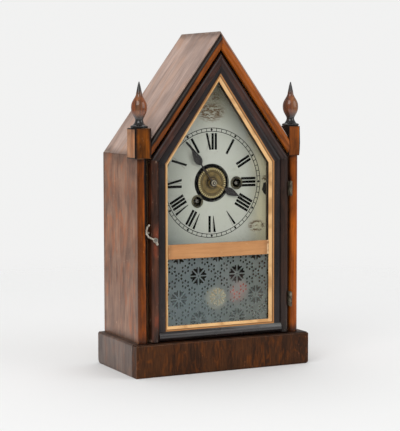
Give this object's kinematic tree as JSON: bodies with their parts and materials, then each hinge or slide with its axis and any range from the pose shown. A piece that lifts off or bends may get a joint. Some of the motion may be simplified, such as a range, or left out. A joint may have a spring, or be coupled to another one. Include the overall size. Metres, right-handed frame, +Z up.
{
  "type": "table clock",
  "caption": "Sharp-gabled wooden table clock with corner finials, a hinged glazed door, an alarm disc and a short pendulum.",
  "frame": {"origin": "centre of the base's underside, on the surface that the clock stands on", "axes": "+Z up, +X to the right of someone who faces the dial, +Y from the dial to the back"},
  "size_m": [0.2136, 0.1094, 0.375],
  "materials": {
    "veneer": "worn satin varnish over mottled veneer",
    "base_veneer": "dark worn satin varnish",
    "moulding": "polished orange-brown half-round",
    "ebonised": "glossy black varnish",
    "capital_veneer": "polished mottled veneer",
    "turned_wood": "polished, with dark ends",
    "raw_wood": "unfinished softwood",
    "gilt": "worn gold paint",
    "tan_paint": "matt tan paint with stains",
    "dial_paint": "satin off-white paint on zinc, stained at its edges",
    "glass": "clear",
    "etched_glass": "frosted, with clear petalled wheels",
    "brass": "tarnished",
    "steel": "grey, slightly dull",
    "blued_steel": "blued almost black",
    "bell_metal": "coppered"
  },
  "bodies": {
    "case": {"side_left": "veneer", "side_right": "veneer", "roof_left": "veneer", "roof_right": "veneer", "backboard": "raw_wood", "floor_board": "base_veneer", "base_front": "base_veneer", "base_side_left": "base_veneer", "base_side_right": "base_veneer", "pilaster_left": "moulding", "pilaster_right": "moulding", "gable_moulding_left": "moulding", "gable_moulding_right": "moulding", "capital_left": "capital_veneer", "capital_right": "capital_veneer", "finials": "turned_wood", "dial_rails": "raw_wood", "dial": "dial_paint", "dial_pins": "brass", "winding_grommets": "brass", "movement_blocks": "raw_wood", "front_plate": "brass", "back_plate": "brass", "plate_pillars": "steel", "movement_screws": "steel", "suspension_post": "brass", "mainsprings": "steel", "alarm_bell": "bell_metal", "bell_post": "steel", "hinge_case_leaves": "brass", "hinge_pins": "brass", "catch_pin": "brass"},
    "door": {"door_stile_left": "veneer", "door_stile_right": "veneer", "door_rail_bottom": "ebonised", "door_gable_left": "ebonised", "door_gable_right": "ebonised", "gilt_slip": "gilt", "crossbar": "tan_paint", "upper_glass": "glass", "lower_glass": "etched_glass", "hinge_door_leaves": "brass", "latch_screw": "steel"},
    "latch": {"latch_hook": "brass"},
    "minute": {"minute_hand": "blued_steel", "centre_arbor": "steel", "centre_wheel": "brass"},
    "hour": {"hour_hand": "blued_steel", "hour_wheel": "brass"},
    "alarm_setting": {"alarm_disc": "brass"},
    "minute_work": {"minute_wheel": "brass"},
    "main": {"main_wheel": "brass"},
    "time_winder": {"time_arbor": "steel"},
    "third": {"third_wheel": "brass"},
    "escape": {"escape_wheel": "brass"},
    "verge_body": {"verge": "steel"},
    "pendulum": {"pendulum_rod": "steel", "pendulum_bob": "brass"},
    "alarm_winder": {"alarm_arbor": "steel"},
    "hammer": {"alarm_hammer": "steel"}
  },
  "joints": [
    {"name": "door_hinge", "type": "hinge", "parent": "case", "child": "door", "pos_m": [0.08628, -0.0498, 0.1372], "axis": [0, 0, 1], "range_deg": [0, 110]},
    {"name": "latch_turn", "type": "hinge", "parent": "door", "child": "latch", "pos_m": [-0.0814, -0.0497, 0.149], "axis": [0, -1, 0], "range_deg": [0, 120]},
    {"name": "minute_turn", "type": "hinge", "parent": "case", "child": "minute", "pos_m": [0, -0.0223, 0.2073], "axis": [0, 1, 0], "continuous": true},
    {"name": "hour_turn", "type": "hinge", "parent": "case", "child": "hour", "pos_m": [0, -0.0223, 0.2073], "axis": [0, 1, 0], "continuous": true},
    {"name": "alarm_set", "type": "hinge", "parent": "hour", "child": "alarm_setting", "pos_m": [0, -0.0223, 0.2073], "axis": [0, 1, 0], "continuous": true},
    {"name": "minute_wheel_turn", "type": "hinge", "parent": "case", "child": "minute_work", "pos_m": [-0.0075, -0.0163, 0.22029], "axis": [0, 1, 0], "continuous": true},
    {"name": "main_wheel_turn", "type": "hinge", "parent": "case", "child": "main", "pos_m": [0.031, 0.0192, 0.2064], "axis": [0, 1, 0], "continuous": true},
    {"name": "time_winding", "type": "hinge", "parent": "main", "child": "time_winder", "pos_m": [0.031, 0, 0.2064], "axis": [0, 1, 0], "range_deg": [0, 2160]},
    {"name": "third_turn", "type": "hinge", "parent": "case", "child": "third", "pos_m": [-0.00876, -0.0022, 0.22748], "axis": [0, 1, 0], "continuous": true},
    {"name": "escape_turn", "type": "hinge", "parent": "case", "child": "escape", "pos_m": [0.01, -0.0064, 0.2298], "axis": [0, 1, 0], "continuous": true},
    {"name": "pendulum_swing", "type": "hinge", "parent": "case", "child": "pendulum", "pos_m": [0.01, -0.0123, 0.2418], "axis": [0, 1, 0], "range_deg": [-4, 4]},
    {"name": "verge_rock", "type": "hinge", "parent": "case", "child": "verge_body", "pos_m": [0.01, -0.0064, 0.2418], "axis": [0, 1, 0], "range_deg": [-4, 4]},
    {"name": "alarm_winding", "type": "hinge", "parent": "case", "child": "alarm_winder", "pos_m": [-0.018, 0, 0.1871], "axis": [0, 1, 0], "range_deg": [0, 1080]},
    {"name": "hammer_swing", "type": "hinge", "parent": "case", "child": "hammer", "pos_m": [0.022, 0.008, 0.1713], "axis": [0, 1, 0], "range_deg": [0, 12], "stiffness_Nm_per_rad": 0.0012, "springref_deg": -20.05}
  ],
  "couplings": [
    {"joint": "hour_turn", "follows": "minute_turn", "ratio": 0.083333},
    {"joint": "minute_wheel_turn", "follows": "minute_turn", "ratio": -0.33333},
    {"joint": "main_wheel_turn", "follows": "minute_turn", "ratio": -0.25},
    {"joint": "third_turn", "follows": "minute_turn", "ratio": -10},
    {"joint": "escape_turn", "follows": "minute_turn", "ratio": 110},
    {"joint": "verge_rock", "follows": "pendulum_swing", "ratio": 1}
  ]
}
